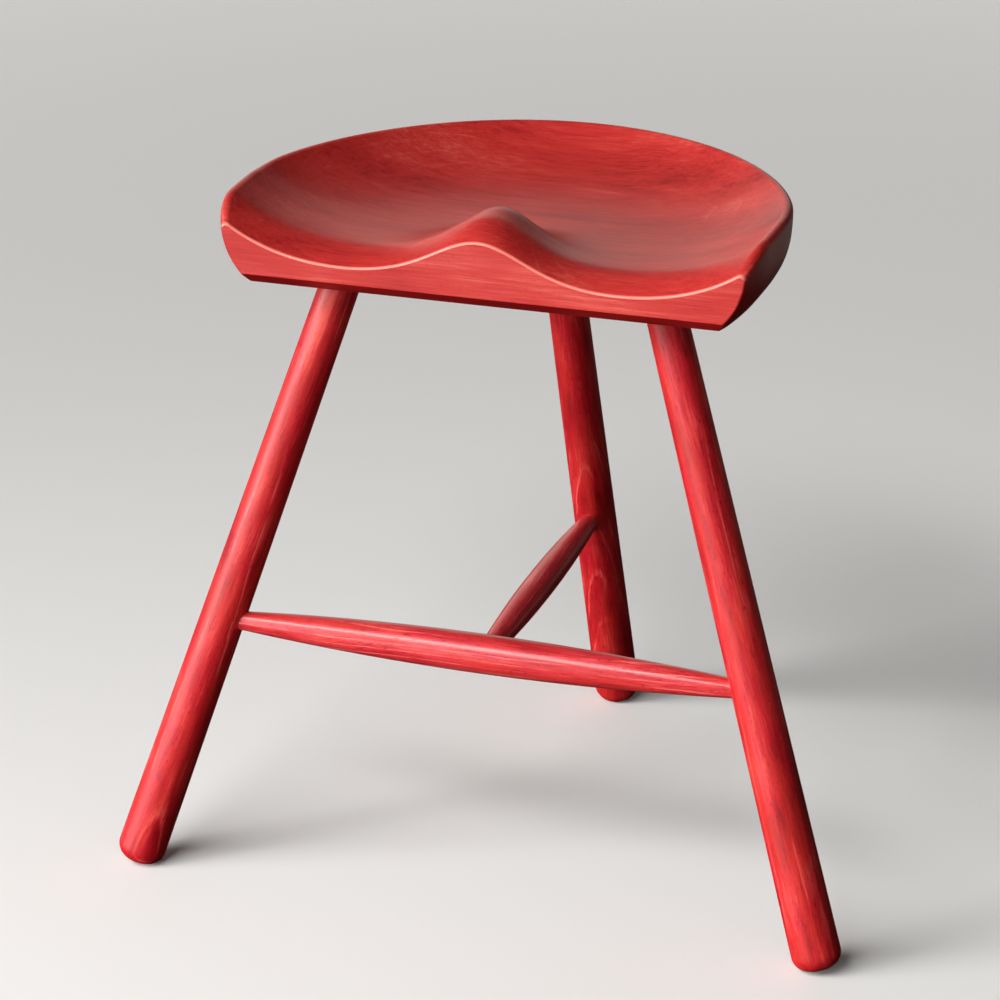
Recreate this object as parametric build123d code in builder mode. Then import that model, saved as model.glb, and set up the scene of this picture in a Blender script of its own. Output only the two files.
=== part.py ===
"""Three-legged saddle stool: carved seat, three splayed legs and two cigar-shaped stretchers.

Frame: millimetres, +Z up, the floor is z = 0, the straight front of the seat faces -Y.
"""
from build123d import *
from math import cos, cosh, pi, sqrt
import os

# Seat blank: outline, side shape and thickness
CREST_Z = 488.0             # pommel crest, level with the rounded rim
BLANK_TOP_Z = 496.0         # top of the blank before it is carved
UNDERSIDE_Z = 433.0
SEAT_FRONT_Y = -160.2       # straight front face
SEAT_WIDEST_Y = -78.2
SEAT_BACK_Y = 96.8
SEAT_HALF_WIDTH = 185.5
FRONT_HALF_WIDTH = 178.0
BACK_CURVE_POWER = 1.71
SIDE_CURVE_POWER = 4.8
SIDE_TUCK = 21.0            # the side has drawn in this much where it meets the underside
SIDE_TUCK_POWER = 3.1
FRONT_BEVEL = 7.0
RIM_ROUND = 4.3
FRONT_EDGE_ROUND = 1.5
UNDERSIDE_ROUND = 2.0

# Carving of the seat top
DISH_DEPTH = 29.0           # below the pommel crest
RIM_LIFT = 4.7              # the back rim is this much above the crest before it is rounded
DISH_POWER = 2.3
DISH_HALF_WIDTH = 185.5
DISH_FRONT_HALF_WIDTH = 184.5
FRONT_ROLL_DROP = 10.8      # the front edge rolls down by this much
FRONT_ROLL_LENGTH = 32.0
POMMEL_WIDTH = 45.0
POMMEL_NARROWING = 18.0     # narrower by this much at its full length
POMMEL_LENGTH = 70.0
POMMEL_CREST_LENGTH = 45.0  # the crest stays level up to here
POMMEL_FADE_LENGTH = 56.0   # then sinks into the dish over this length

# Staves of the seat blank, glued on planes across its depth: their number and places are assumed
STAVE_JOINTS_Y = (-88.0, -24.0, 37.0)

# Legs
FOOT_DIAMETER = 34.0
LEG_SEAT_DIAMETER = 27.0
FOOT_ROUND = 11.0
FOOT_FLAT_TRIM = 0.6        # wood taken off each foot level with the floor
LEG_TENON_DIAMETER = 22.0
LEG_TENON_LENGTH = 19.0     # along the leg, above the underside of the seat
TENON_CHAMFER = 1.5
FRONT_FOOT = Vector(248.0, -182.2, 0)
FRONT_SOCKET = Vector(110.0, -107.2, UNDERSIDE_Z)
REAR_FOOT = Vector(0, 185.3, 0)
REAR_SOCKET = Vector(0, 17.3, UNDERSIDE_Z)

# Stretchers
FRONT_STRETCHER_Z = 183.5
REAR_STRETCHER_Z = 180.5
FRONT_STRETCHER_DIAMETER = 27.2
REAR_STRETCHER_DIAMETER = 21.3
STRETCHER_END_DIAMETER = 13.4
LEG_MORTISE_DEPTH = 16.5        # a stretcher reaches the middle of the leg it enters
STRETCHER_MORTISE_DEPTH = 13.0  # rear stretcher into the back of the front one

# Construction of the carved and curved surfaces
OVERHANG = 10.0             # they run this far past the finished seat, then are trimmed
DISH_COLUMNS = 40
DISH_ROWS = 30
DISH_TOLERANCE = 0.02
OUTLINE_POINTS = 14         # on each side
BLANK_LEVELS = 6


def half_width_at(y, widest, front, back_y):
    """Half width of a D-shaped outline: straight front, slightly swelling sides, round back."""
    if y > SEAT_WIDEST_Y:
        t = min(1.0, (y - SEAT_WIDEST_Y) / (back_y - SEAT_WIDEST_Y))
        return widest * sqrt(1 - t**BACK_CURVE_POWER)
    t = (SEAT_WIDEST_Y - y) / (SEAT_WIDEST_Y - SEAT_FRONT_Y)
    return widest - (widest - front) * t**SIDE_CURVE_POWER


def outline_point(turn, inset):
    """Point on the seat outline, drawn in by an inset: turn runs from -1 to 1 round the back."""
    start = SEAT_FRONT_Y - OVERHANG
    back_y = SEAT_BACK_Y - inset
    y = start + (back_y - start) * cos(turn * pi / 2)
    half_width = half_width_at(y, SEAT_HALF_WIDTH - inset, FRONT_HALF_WIDTH - inset, back_y)
    return (half_width if turn > 0 else -half_width, y)


def dish_z(x, y):
    """Height of the carved top: dish, pommel ridge and rolled front edge."""
    beyond = max(0.0, (y - SEAT_WIDEST_Y) / (SEAT_BACK_Y - SEAT_WIDEST_Y))
    side_y = min(y, SEAT_WIDEST_Y)
    half_width = half_width_at(side_y, DISH_HALF_WIDTH, DISH_FRONT_HALF_WIDTH, SEAT_BACK_Y)
    spread = (x / half_width) ** 2 + beyond**BACK_CURVE_POWER
    dish = DISH_DEPTH - (DISH_DEPTH + RIM_LIFT) * spread**DISH_POWER
    depth = y - SEAT_FRONT_Y
    fade = min(1.0, max(0.0, (depth - POMMEL_CREST_LENGTH) / POMMEL_FADE_LENGTH))
    narrowing = POMMEL_NARROWING * min(1.0, max(0.0, depth / POMMEL_LENGTH))
    pommel = (1 + cos(pi * fade)) / 2 / cosh(x / (POMMEL_WIDTH - narrowing)) ** 2
    roll = FRONT_ROLL_DROP * max(0.0, 1 - depth / FRONT_ROLL_LENGTH) ** 2
    return CREST_Z - dish * (1 - pommel) - roll


def blank_inset(z):
    """How far the side of the seat has drawn in at a given height."""
    drop = max(0.0, CREST_Z - z) / (CREST_Z - UNDERSIDE_Z)
    return SIDE_TUCK * drop**SIDE_TUCK_POWER


def dish_surface():
    """Carved top as one smooth sheet, wider than the seat."""
    reach_x = SEAT_HALF_WIDTH + OVERHANG
    start_y = SEAT_FRONT_Y - OVERHANG
    reach_y = SEAT_BACK_Y + OVERHANG - start_y
    grid = []
    for column in range(DISH_COLUMNS + 1):
        x = reach_x * (2 * column / DISH_COLUMNS - 1)
        rows = [start_y + reach_y * row / DISH_ROWS for row in range(DISH_ROWS + 1)]
        grid.append([Vector(x, y, dish_z(x, y)) for y in rows])
    return Face.make_surface_from_array_of_points(grid, tol=DISH_TOLERANCE, min_deg=3, max_deg=5)


def at_height(start, end, z):
    """Point at height z on the line through start and end."""
    return start + (end - start) * ((z - start.Z) / (end.Z - start.Z))


def axis_plane(start, end):
    """Plane through an axis: X runs along the axis, Y is the distance from it."""
    along = (end - start).normalized()
    return Plane(origin=start, x_dir=along, z_dir=along.cross(Vector(0, 0, 1)))


def turn_leg(foot, socket):
    """Tapered leg with a rounded foot, and a round tenon above a shoulder under the seat."""
    axis = (socket - foot).normalized()
    lean = sqrt(1 - axis.Z**2)
    foot_radius = FOOT_DIAMETER / 2
    lift = FOOT_ROUND * (1 - axis.Z) + (foot_radius - FOOT_ROUND) * lean - FOOT_FLAT_TRIM
    start = at_height(foot, socket, lift)
    tenon_end = socket + axis * LEG_TENON_LENGTH
    length = (tenon_end - start).length
    taper = (foot_radius - LEG_SEAT_DIAMETER / 2) / (socket - start).length
    with BuildSketch(axis_plane(start, tenon_end)) as profile:
        with BuildLine():
            Polyline(
                (0, 0),
                (0, foot_radius),
                (length, foot_radius - taper * length),
                (length, 0),
                close=True,
            )
        make_face()
        fillet(vertices().sort_by(Axis.Y)[-1], FOOT_ROUND)
    revolve(profile.sketch, axis=Axis(start, axis))
    split(bisect_by=Plane.XY, keep=Keep.TOP)
    split(bisect_by=Plane.XY.offset(UNDERSIDE_Z), keep=Keep.BOTTOM)
    tenon_root = socket - axis * LEG_TENON_DIAMETER
    with Locations(Plane(origin=tenon_root, z_dir=axis)):
        Cylinder(
            LEG_TENON_DIAMETER / 2,
            (tenon_end - tenon_root).length,
            align=(Align.CENTER, Align.CENTER, Align.MIN),
        )
    chamfer(edges().sort_by(Axis.Z)[-1], TENON_CHAMFER)


def turn_stretcher(start, end, start_depth, end_depth, diameter):
    """Cigar shape with straight round ends; the depths are how far each end is let in."""
    length = (end - start).length
    end_radius = STRETCHER_END_DIAMETER / 2
    shoulders = (start_depth, length - end_depth)
    with BuildSketch(axis_plane(start, end)) as profile:
        with BuildLine():
            ThreePointArc(
                (shoulders[0], end_radius), (sum(shoulders) / 2, diameter / 2), (shoulders[1], end_radius)
            )
            Polyline(
                (shoulders[1], end_radius),
                (length, end_radius),
                (length, 0),
                (0, 0),
                (0, end_radius),
                (shoulders[0], end_radius),
            )
        make_face()
    revolve(profile.sketch, axis=Axis(start, end - start))


front_joint = at_height(FRONT_FOOT, FRONT_SOCKET, FRONT_STRETCHER_Z)
front_joint_left = Vector(-front_joint.X, front_joint.Y, front_joint.Z)
front_stretcher_back_y = front_joint.Y + FRONT_STRETCHER_DIAMETER / 2
rear_start = Vector(0, front_stretcher_back_y - STRETCHER_MORTISE_DEPTH, REAR_STRETCHER_Z)
rear_end = at_height(REAR_FOOT, REAR_SOCKET, REAR_STRETCHER_Z)

with BuildPart() as stretcher_rear:
    turn_stretcher(
        rear_start, rear_end, STRETCHER_MORTISE_DEPTH, LEG_MORTISE_DEPTH, REAR_STRETCHER_DIAMETER
    )

with BuildPart() as stretcher_front:
    turn_stretcher(
        front_joint_left, front_joint, LEG_MORTISE_DEPTH, LEG_MORTISE_DEPTH, FRONT_STRETCHER_DIAMETER
    )
    add(stretcher_rear.part, mode=Mode.SUBTRACT)

with BuildPart() as leg_front_right:
    turn_leg(FRONT_FOOT, FRONT_SOCKET)
    add(stretcher_front.part, mode=Mode.SUBTRACT)

with BuildPart() as leg_front_left:
    mirror(leg_front_right.part, about=Plane.YZ)

with BuildPart() as leg_rear:
    turn_leg(REAR_FOOT, REAR_SOCKET)
    add(stretcher_rear.part, mode=Mode.SUBTRACT)

# The whole seat is shaped and bored first, then divided at its glue joints
with BuildPart() as seat:
    for level in range(BLANK_LEVELS + 1):
        height = UNDERSIDE_Z + (BLANK_TOP_Z - UNDERSIDE_Z) * level / BLANK_LEVELS
        side_points = range(-OUTLINE_POINTS, OUTLINE_POINTS + 1)
        with BuildSketch(Plane.XY.offset(height)):
            with BuildLine():
                rim = Spline(*[outline_point(i / OUTLINE_POINTS, blank_inset(height)) for i in side_points])
                Line(rim @ 1, rim @ 0)
            make_face()
    loft()
    extrude(dish_surface(), amount=BLANK_TOP_Z, dir=(0, 0, 1), mode=Mode.SUBTRACT)
    split(bisect_by=Plane.XZ.offset(-SEAT_FRONT_Y), keep=Keep.BOTTOM)
    chamfer(faces().sort_by(Axis.Z)[0].edges().sort_by(Axis.Y)[0], FRONT_BEVEL)
    fillet(edges().sort_by(SortBy.LENGTH)[-1], RIM_ROUND)
    fillet(faces().sort_by(Axis.Y)[0].edges(), FRONT_EDGE_ROUND)
    fillet(faces().sort_by(Axis.Z)[0].edges(), UNDERSIDE_ROUND)
    for leg in (leg_front_left, leg_front_right, leg_rear):
        add(leg.part, mode=Mode.SUBTRACT)

joints = (SEAT_FRONT_Y, *STAVE_JOINTS_Y, SEAT_BACK_Y)
parts = {
    "leg_front_left": leg_front_left.part,
    "leg_front_right": leg_front_right.part,
    "leg_rear": leg_rear.part,
    "stretcher_front": stretcher_front.part,
    "stretcher_rear": stretcher_rear.part,
}
for number, (front, back) in enumerate(zip(joints, joints[1:]), start=1):
    with BuildPart() as seat_stave:
        add(seat.part)
        with Locations((0, (front + back) / 2, CREST_Z)):
            Box(3 * SEAT_HALF_WIDTH, back - front, CREST_Z, mode=Mode.INTERSECT)
    parts[f"seat_stave_{number}"] = seat_stave.part

os.makedirs("parts", exist_ok=True)
for name, part in parts.items():
    part.label = name
    export_step(part, f"parts/{name}.step")
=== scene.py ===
"""Looks of the three-legged saddle stool: red-stained beech with a satin finish, in soft studio light."""

from math import radians

import bpy
from mathutils import Matrix, Vector


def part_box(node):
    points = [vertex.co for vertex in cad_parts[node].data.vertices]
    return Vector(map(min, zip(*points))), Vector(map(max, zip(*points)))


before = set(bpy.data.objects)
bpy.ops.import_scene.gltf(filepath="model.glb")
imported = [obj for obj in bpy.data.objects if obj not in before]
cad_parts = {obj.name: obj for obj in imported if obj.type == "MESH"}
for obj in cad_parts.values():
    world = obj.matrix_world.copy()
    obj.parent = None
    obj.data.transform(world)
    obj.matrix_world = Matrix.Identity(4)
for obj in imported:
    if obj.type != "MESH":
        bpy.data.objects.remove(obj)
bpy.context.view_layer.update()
SEAT_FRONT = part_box("seat_stave_1")[0].y

# Stain colours, linear: deep, middle and thin
SEAT_STAIN = ((0.22, 0.003, 0.005), (0.46, 0.023, 0.020), (0.66, 0.115, 0.090))
LEG_STAIN = ((0.20, 0.001, 0.003), (0.46, 0.006, 0.013), (0.68, 0.075, 0.060))
STRETCHER_STAIN = ((0.27, 0.003, 0.009), (0.52, 0.026, 0.034), (0.76, 0.130, 0.110))
WARM_STAIN = (0.58, 0.040, 0.016)
# Pale colour of the seat's upper front edge: rubbed stain with a painted highlight
ARRIS_WEAR_AND_HIGHLIGHT_COLOUR = (0.80, 0.19, 0.14)

# Wood figure, with sizes in metres. The grain line is the local X axis.
# across: direction of local Y. pith: place of the rings' middle, in local Y and Z.
# bend and slope: how far the rings wander, and how fast they widen along the grain.
# ring thins the stain, fleck deepens it, and fibre, streak and blotch vary it both ways.
# warm: largest share of the warm stain. coat, bump: strength of the clear coat and of the relief.
SEAT_FIGURE = {
    "across": (0, 1, 0), "pith": (0.01, -0.16),
    "ring_spacing": 0.0065, "ring": 0.10, "bend": 0.010, "slope": 0.0,
    "fibre_width": 0.0011, "fibre": 0.75, "streak_width": 0.0035, "streak": 0.45,
    "blotch_size": 0.040, "blotch": 1.1, "fleck": 0.18, "warm": 0.10,
    "roughness": 0.26, "coat": 0.15, "bump": 0.25,
}
LEG_FIGURE = {
    "across": (0, 1, 0), "pith": (0.06, 0.008),
    "ring_spacing": 0.0046, "ring": 0.50, "bend": 0.007, "slope": -0.045,
    "fibre_width": 0.0009, "fibre": 1.10, "streak_width": 0.0050, "streak": 0.55,
    "blotch_size": 0.014, "blotch": 1.2, "fleck": 0.50, "warm": 0.25,
    "roughness": 0.42, "coat": 0.10, "bump": 0.60,
}
STRETCHER_FIGURE = {
    **LEG_FIGURE,
    "across": (0, 0, 1), "pith": (-0.05, 0.02),
    "slope": -0.02, "blotch": 0.9,
    "roughness": 0.24, "coat": 0.50, "bump": 0.35,
}

# Late wood: the share of a ring over which its line comes in and goes out, and where patches of it show
LINE_RISE = (0.72, 0.93)
LINE_FALL = (1.0, 0.95)
LINE_PATCHES = (0.40, 0.62)
# Noise values over which flecks and warm patches come in
FLECK_SPAN = (0.58, 0.72)
WARM_SPAN = (0.42, 0.66)

# Thinness of the stain over which one colour gives way to the next
DEEP_TO_MIDDLE = (0.0, 0.6)
MIDDLE_TO_THIN = (0.5, 1.1)

# Faces of the seat whose colour differs: the span of the normal that picks each out, and the change. End
# grain takes deeper stain, the underside is darkened as painted shade, the front face is paled as painted
# light, and the rim is paler on its sloped band.
END_GRAIN_SPAN = (0.25, 0.9)
END_GRAIN_CHANGE = -0.35
# Painted shade: faces turned downward are darkened
UNDERSIDE_SPAN = (-0.2, -0.6)
UNDERSIDE_PAINTED_SHADE = -0.6
FRONT_SPAN = (-0.75, -0.95)
# Painted light: the front face is made paler
FRONT_PAINTED_LIGHT = 0.10
RIM_LOWER_SPAN = (0.15, 0.45)
RIM_UPPER_SPAN = (0.78, 0.6)
RIM_CHANGE = 0.35

# Upper front edge of the seat, where the stain is rubbed thin and a painted highlight makes it paler still
ARRIS_WIDTH = 0.0018
ARRIS_SOLID = 0.55
ARRIS_UPWARD = (0.03, 0.2)
# Share of the pale edge colour, which is partly wear and partly painted highlight
ARRIS_WEAR_AND_HIGHLIGHT = 0.8

# Finish
VARNISH_IOR = 1.48
COAT_ROUGHNESS = 0.30
FIBRE_ROUGHNESS = 0.14
LATE_WOOD_RELIEF = 0.6
RELIEF_DEPTH = 0.0002

# The seat's grain line, which starts inside the seat
SEAT_GRAIN_START = (0, 0, 0.44)
SEAT_GRAIN = (1, 0, 0)
SEAT_SEED = 3.0
FIRST_LEG_SEED = 10
FIRST_STRETCHER_SEED = 20
# The way that each leg's foot splays out, in X and Y, and that each stretcher's grain runs
LEG_SPLAY = {"leg_front_left": (-1, -1), "leg_front_right": (1, -1), "leg_rear": (0, 1)}
STRETCHER_GRAIN = {"stretcher_front": (1, 0, 0), "stretcher_rear": (0, 1, 0)}

# Floor: its colour to the camera, and the dimmer colours that light the stool from below
FLOOR_SIZE = 40
FLOOR_SEEN = (0.82, 0.81, 0.79)
FLOOR_NEAR = (0.05, 0.018, 0.014)
FLOOR_FAR = (0.30, 0.26, 0.23)
FLOOR_NEAR_TO_FAR = (0.8, 1.5)
FLOOR_ROUGHNESS = 0.7
FLOOR_IOR = 1
FLOOR_GLOW = (1, 0.99, 0.965, 1)
FLOOR_GLOW_SPAN = (0.8, 4.0)
FLOOR_GLOW_STRENGTH = 0.28

# Beam of the weak light low down in front, in degrees
LOW_FRONT_SPREAD = 50

# Room: the spans are of a direction's X, Y or Z
WALL_COLOUR = (0.78, 0.72, 0.64)
WALL_BEHIND = (0.15, 0.75)
WALL_LOW_DOWN = (0.50, 0.37)
WALL_LEFTWARD = (0.16, -0.20)
ROOM_LEFT = (0.12, 0.12, 0.12)
ROOM_RIGHT = (0.008, 0.008, 0.008)
ROOM_LEFT_TO_RIGHT = (-0.7, 0.6)
BACKDROP = (0.60, 0.59, 0.57)

# Camera: millimetres for the lens, metres for the place, degrees for the turns
CAMERA_PLACE = (0.6590, -2.1224, 1.1512)
CAMERA_DIP = 22.36
CAMERA_TURN = 18.15
CAMERA_LENS = 121.92
CAMERA_SENSOR = 36


def add_node(tree, kind, inputs=None, **settings):
    """A new node with its settings made and its inputs linked or set."""
    node = tree.nodes.new(kind)
    for name, value in settings.items():
        setattr(node, name, value)
    for name, value in (inputs or {}).items():
        if isinstance(value, bpy.types.NodeSocket):
            tree.links.new(value, node.inputs[name])
        else:
            node.inputs[name].default_value = value
    return node


def math_node(tree, operation, *values):
    """The result of one arithmetic step."""
    return add_node(tree, "ShaderNodeMath", dict(enumerate(values)), operation=operation).outputs[0]


def axes_of(tree, vector):
    """The X, Y and Z of a vector."""
    return add_node(tree, "ShaderNodeSeparateXYZ", {0: vector}).outputs


def ramp(tree, value, span):
    """0 at the span's first value, 1 at its second, eased between them."""
    inputs = {"Value": value, "From Min": span[0], "From Max": span[1]}
    node = add_node(tree, "ShaderNodeMapRange", inputs, interpolation_type="SMOOTHSTEP")
    return node.outputs["Result"]


def mix_colour(tree, factor, first, second):
    """Blend of two colours."""
    node = add_node(tree, "ShaderNodeMix", data_type="RGBA")
    for socket, value in zip((node.inputs[0], node.inputs[6], node.inputs[7]), (factor, first, second)):
        if isinstance(value, bpy.types.NodeSocket):
            tree.links.new(value, socket)
        else:
            socket.default_value = (*value, 1)
    return node.outputs[2]


def stretched_noise(tree, place, width, stretch, detail, seed):
    """Noise that is drawn out along the grain, which runs along local X."""
    scale = add_node(
        tree,
        "ShaderNodeVectorMath",
        {0: place, 1: (1 / (width * stretch), 1 / width, 1 / width)},
        operation="MULTIPLY",
    )
    noise = add_node(
        tree,
        "ShaderNodeTexNoise",
        {"Vector": scale.outputs[0], "W": seed, "Scale": 1.0, "Detail": detail},
        noise_dimensions="4D",
    )
    return noise.outputs["Fac"]


def grain_frame(tree, place, start, along, across):
    """Coordinates with X along the grain line and Y close to the across direction."""
    x_axis = Vector(along).normalized()
    z_axis = x_axis.cross(Vector(across)).normalized()
    y_axis = z_axis.cross(x_axis)
    turn = Matrix((x_axis, y_axis, z_axis)).transposed().to_euler()
    inputs = {"Vector": place, "Location": start, "Rotation": turn}
    return add_node(tree, "ShaderNodeMapping", inputs, vector_type="TEXTURE").outputs[0]


def late_wood_lines(tree, local, figure, seed):
    """Lines of the growth rings round the pith, bent by slow noise and shown in patches."""
    wander = stretched_noise(tree, local, width=0.03, stretch=5, detail=2, seed=seed)
    patches = stretched_noise(tree, local, width=0.02, stretch=4, detail=1, seed=seed + 5)
    axes = axes_of(tree, local)
    from_pith_y = math_node(tree, "SUBTRACT", axes[1], figure["pith"][0])
    from_pith_z = math_node(tree, "SUBTRACT", axes[2], figure["pith"][1])
    squared_y = math_node(tree, "POWER", from_pith_y, 2.0)
    squared_z = math_node(tree, "POWER", from_pith_z, 2.0)
    radius = math_node(tree, "SQRT", math_node(tree, "ADD", squared_y, squared_z))
    tilted = math_node(tree, "MULTIPLY_ADD", axes[0], figure["slope"], radius)
    bent = math_node(tree, "MULTIPLY_ADD", wander, figure["bend"], tilted)
    phase = math_node(tree, "FRACT", math_node(tree, "DIVIDE", bent, figure["ring_spacing"]))
    line = math_node(tree, "MULTIPLY", ramp(tree, phase, LINE_RISE), ramp(tree, phase, LINE_FALL))
    return math_node(tree, "MULTIPLY", line, ramp(tree, patches, LINE_PATCHES))


def wood_thinness(tree, local, figure, seed, fibre, late_wood):
    """How thinly the stain lies on plain wood: 0 is deep, 1 is thin."""
    streak = stretched_noise(tree, local, figure["streak_width"], stretch=16, detail=2, seed=seed + 2)
    blotch = stretched_noise(tree, local, figure["blotch_size"], stretch=3.5, detail=3, seed=seed + 3)
    fleck = stretched_noise(tree, local, width=0.0009, stretch=5, detail=1, seed=seed + 4)
    paleness = 0.5
    for noise, strength in ((fibre, "fibre"), (streak, "streak"), (blotch, "blotch")):
        offset = math_node(tree, "SUBTRACT", noise, 0.5)
        paleness = math_node(tree, "MULTIPLY_ADD", offset, figure[strength], paleness)
    paleness = math_node(tree, "MULTIPLY_ADD", late_wood, figure["ring"], paleness)
    return math_node(tree, "MULTIPLY_ADD", ramp(tree, fleck, FLECK_SPAN), -figure["fleck"], paleness)


def seat_stain_and_painted_light(tree, facing, paleness):
    """The seat's colour: deeper stain on end grain, painted shade underneath, painted light on the front
    face, and paler along the rim's sloped band.
    """
    end_grain = ramp(tree, math_node(tree, "ABSOLUTE", facing[0]), END_GRAIN_SPAN)
    # Painted shade on faces turned downward
    shaded_underside = ramp(tree, facing[2], UNDERSIDE_SPAN)
    # Painted light on the face turned to the front
    lit_front_face = ramp(tree, facing[1], FRONT_SPAN)
    above_side = ramp(tree, facing[2], RIM_LOWER_SPAN)
    below_top = ramp(tree, facing[2], RIM_UPPER_SPAN)
    rim = math_node(tree, "MULTIPLY", above_side, below_top)
    paleness = math_node(tree, "MULTIPLY_ADD", end_grain, END_GRAIN_CHANGE, paleness)
    paleness = math_node(tree, "MULTIPLY_ADD", shaded_underside, UNDERSIDE_PAINTED_SHADE, paleness)
    paleness = math_node(tree, "MULTIPLY_ADD", lit_front_face, FRONT_PAINTED_LIGHT, paleness)
    return math_node(tree, "MULTIPLY_ADD", rim, RIM_CHANGE, paleness)


def stain_colour(tree, local, figure, seed, stain, paleness):
    """Colour of the stain by its thinness, with warmer patches."""
    deep, middle, pale = stain
    lower = mix_colour(tree, ramp(tree, paleness, DEEP_TO_MIDDLE), deep, middle)
    colour = mix_colour(tree, ramp(tree, paleness, MIDDLE_TO_THIN), lower, pale)
    patches = stretched_noise(tree, local, width=0.010, stretch=6, detail=2, seed=seed + 6)
    warmth = math_node(tree, "MULTIPLY", ramp(tree, patches, WARM_SPAN), figure["warm"])
    return mix_colour(tree, warmth, colour, WARM_STAIN)


def worn_and_highlit_arris(tree, place, facing, colour):
    """The colour, made pale along the upper front edge of the seat by wear and a painted highlight."""
    edge_span = (SEAT_FRONT + ARRIS_WIDTH, SEAT_FRONT + ARRIS_WIDTH * ARRIS_SOLID)
    edge = ramp(tree, axes_of(tree, place)[1], edge_span)
    # Mask of the pale edge: partly wear, partly painted highlight
    wear_and_highlight = math_node(tree, "MULTIPLY", edge, ramp(tree, facing[2], ARRIS_UPWARD))
    return mix_colour(tree, math_node(tree, "MULTIPLY", wear_and_highlight, ARRIS_WEAR_AND_HIGHLIGHT), colour, ARRIS_WEAR_AND_HIGHLIGHT_COLOUR)


def stained_wood(name, start, along, seed, figure, stain, is_seat=False):
    """Red-stained beech with its grain along a line."""
    material = bpy.data.materials.new(name)
    material.use_nodes = True
    tree = material.node_tree
    tree.nodes.clear()

    place = add_node(tree, "ShaderNodeTexCoord").outputs["Object"]
    local = grain_frame(tree, place, start, along, figure["across"])
    fibre = stretched_noise(tree, local, figure["fibre_width"], stretch=30, detail=3, seed=seed + 1)
    late_wood = late_wood_lines(tree, local, figure, seed)
    paleness = wood_thinness(tree, local, figure, seed, fibre, late_wood)
    if is_seat:
        facing = axes_of(tree, add_node(tree, "ShaderNodeNewGeometry").outputs["Normal"])
        paleness = seat_stain_and_painted_light(tree, facing, paleness)
    colour = stain_colour(tree, local, figure, seed, stain, paleness)
    if is_seat:
        # Pale upper front edge: wear and a painted highlight
        colour = worn_and_highlit_arris(tree, place, facing, colour)

    height = math_node(tree, "MULTIPLY_ADD", late_wood, LATE_WOOD_RELIEF, fibre)
    relief = add_node(
        tree,
        "ShaderNodeBump",
        {"Height": height, "Strength": figure["bump"], "Distance": RELIEF_DEPTH},
    )
    roughness = math_node(tree, "MULTIPLY_ADD", fibre, FIBRE_ROUGHNESS, figure["roughness"])
    shader = add_node(
        tree,
        "ShaderNodeBsdfPrincipled",
        {"Base Color": colour, "Roughness": roughness, "Normal": relief.outputs[0],
         "IOR": VARNISH_IOR, "Coat Weight": figure["coat"], "Coat Roughness": COAT_ROUGHNESS},
    )
    output = add_node(tree, "ShaderNodeOutputMaterial")
    tree.links.new(shader.outputs[0], output.inputs["Surface"])
    return material


def finish_node(name, material):
    """Make a material the only one of a node."""
    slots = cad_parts[name].data.materials
    slots.clear()
    slots.append(material)


def finish_seat():
    """One figure runs through the staves, grain left to right, with the pith below the seat."""
    for number in range(1, 5):
        name = f"seat_wood_{number}"
        wood = stained_wood(
            name, SEAT_GRAIN_START, SEAT_GRAIN, SEAT_SEED, SEAT_FIGURE, SEAT_STAIN, is_seat=True
        )
        finish_node(f"seat_stave_{number}", wood)


def finish_legs():
    """Grain runs from each foot to the top of its leg."""
    for seed, (name, splay) in enumerate(LEG_SPLAY.items(), start=FIRST_LEG_SEED):
        low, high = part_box(name)
        middle = (low + high) / 2
        half = (high - low) / 2
        outward = Vector((splay[0] * half.x, splay[1] * half.y, -half.z))
        finish_node(name, stained_wood(name, middle + outward, -outward, seed, LEG_FIGURE, LEG_STAIN))


def finish_stretchers():
    """Grain runs along each stretcher from its middle."""
    for seed, (name, along) in enumerate(STRETCHER_GRAIN.items(), start=FIRST_STRETCHER_SEED):
        low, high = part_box(name)
        middle = (low + high) / 2
        finish_node(name, stained_wood(name, middle, along, seed, STRETCHER_FIGURE, STRETCHER_STAIN))


def make_floor():
    """Pale floor that the camera sees lighter than the stool does, and that glows faintly far off."""
    bpy.ops.mesh.primitive_plane_add(size=FLOOR_SIZE)
    plane = bpy.context.object
    plane.name = "floor"
    material = bpy.data.materials.new("floor")
    material.use_nodes = True
    tree = material.node_tree
    seen = add_node(tree, "ShaderNodeLightPath").outputs["Is Camera Ray"]
    place = add_node(tree, "ShaderNodeTexCoord").outputs["Object"]
    distance = add_node(tree, "ShaderNodeVectorMath", {0: place}, operation="LENGTH").outputs["Value"]
    bounce = mix_colour(tree, ramp(tree, distance, FLOOR_NEAR_TO_FAR), FLOOR_NEAR, FLOOR_FAR)
    glow = math_node(tree, "MULTIPLY", seen, ramp(tree, distance, FLOOR_GLOW_SPAN))
    glow_strength = math_node(tree, "MULTIPLY", glow, FLOOR_GLOW_STRENGTH)
    shader = tree.nodes["Principled BSDF"]
    shader.inputs["Roughness"].default_value = FLOOR_ROUGHNESS
    shader.inputs["IOR"].default_value = FLOOR_IOR
    shader.inputs["Emission Color"].default_value = FLOOR_GLOW
    tree.links.new(mix_colour(tree, seen, bounce, FLOOR_SEEN), shader.inputs["Base Color"])
    tree.links.new(glow_strength, shader.inputs["Emission Strength"])
    plane.data.materials.append(material)
    return plane


def add_light(name, kind, heading):
    """A light of some kind, turned to a heading."""
    light = bpy.data.objects.new(name, bpy.data.lights.new(name, kind))
    light.rotation_euler = Vector(heading).to_track_quat("-Z", "Y").to_euler()
    bpy.context.scene.collection.objects.link(light)
    return light


def area_light(name, place, target, width, height, power):
    """Soft light at a place, turned to a target."""
    light = add_light(name, "AREA", Vector(target) - Vector(place))
    light.location = place
    light.data.shape = "RECTANGLE"
    light.data.size = width
    light.data.size_y = height
    light.data.energy = power
    return light


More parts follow.
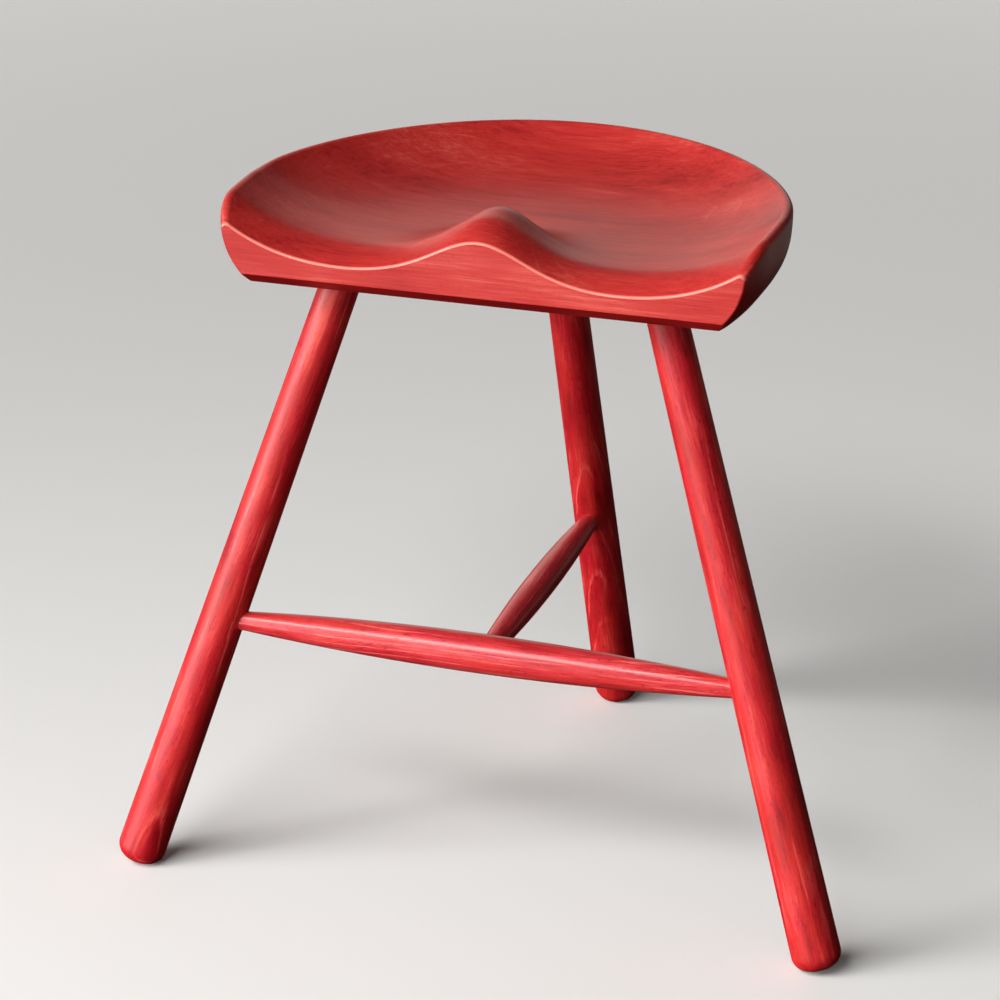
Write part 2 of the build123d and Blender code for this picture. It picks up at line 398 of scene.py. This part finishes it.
def distant_light(name, heading, strength, spread):
    """Even light along a direction, soft-edged by its spread in degrees."""
    light = add_light(name, "SUN", heading)
    light.data.energy = strength
    light.data.angle = radians(spread)
    return light


def add_lights():
    """Key from the front left, a soft light in front, a weak one low down, and a fill from the right."""
    distant_light("key", heading=(4.8, 3.3, -1.65), strength=3.65, spread=28)
    area_light("front", place=(-0.9, -2.1, 2.45), target=(0, 0, 0.3), width=2.4, height=0.6, power=68)
    low_front = area_light(
        "low_front", place=(-0.9, -1.6, 0.22), target=(0, -0.1, 0), width=1.4, height=0.3, power=3
    )
    low_front.data.spread = radians(LOW_FRONT_SPREAD)
    low_front.visible_glossy = False
    fill = distant_light("fill", heading=(-2.6, 2.6, -0.7), strength=0.23, spread=32)
    fill.visible_glossy = False


def light_room():
    """A pale wall glows low down behind, towards the left, in a dim room that darkens to the right."""
    world = bpy.data.worlds.new("studio")
    bpy.context.scene.world = world
    world.use_nodes = True
    tree = world.node_tree
    heading = axes_of(tree, add_node(tree, "ShaderNodeTexCoord").outputs["Generated"])
    behind = ramp(tree, heading[1], WALL_BEHIND)
    low_down = ramp(tree, heading[2], WALL_LOW_DOWN)
    leftward = ramp(tree, heading[0], WALL_LEFTWARD)
    wall = math_node(tree, "MULTIPLY", math_node(tree, "MULTIPLY", behind, low_down), leftward)
    room = mix_colour(tree, ramp(tree, heading[0], ROOM_LEFT_TO_RIGHT), ROOM_LEFT, ROOM_RIGHT)
    lit_room = mix_colour(tree, wall, room, WALL_COLOUR)
    seen = add_node(tree, "ShaderNodeLightPath").outputs["Is Camera Ray"]
    tree.links.new(mix_colour(tree, seen, lit_room, BACKDROP), tree.nodes["Background"].inputs["Color"])


def add_camera():
    """The camera, above and to the right of the stool's front."""
    camera = bpy.data.objects.new("camera", bpy.data.cameras.new("camera"))
    camera.data.sensor_width = CAMERA_SENSOR
    camera.data.lens = CAMERA_LENS
    camera.location = CAMERA_PLACE
    camera.rotation_euler = (radians(90 - CAMERA_DIP), 0, radians(CAMERA_TURN))
    bpy.context.scene.collection.objects.link(camera)
    return camera


finish_seat()
finish_legs()
finish_stretchers()
floor = make_floor()
add_lights()
light_room()
bpy.context.scene.camera = add_camera()
bpy.context.scene.view_settings.view_transform = "Standard"
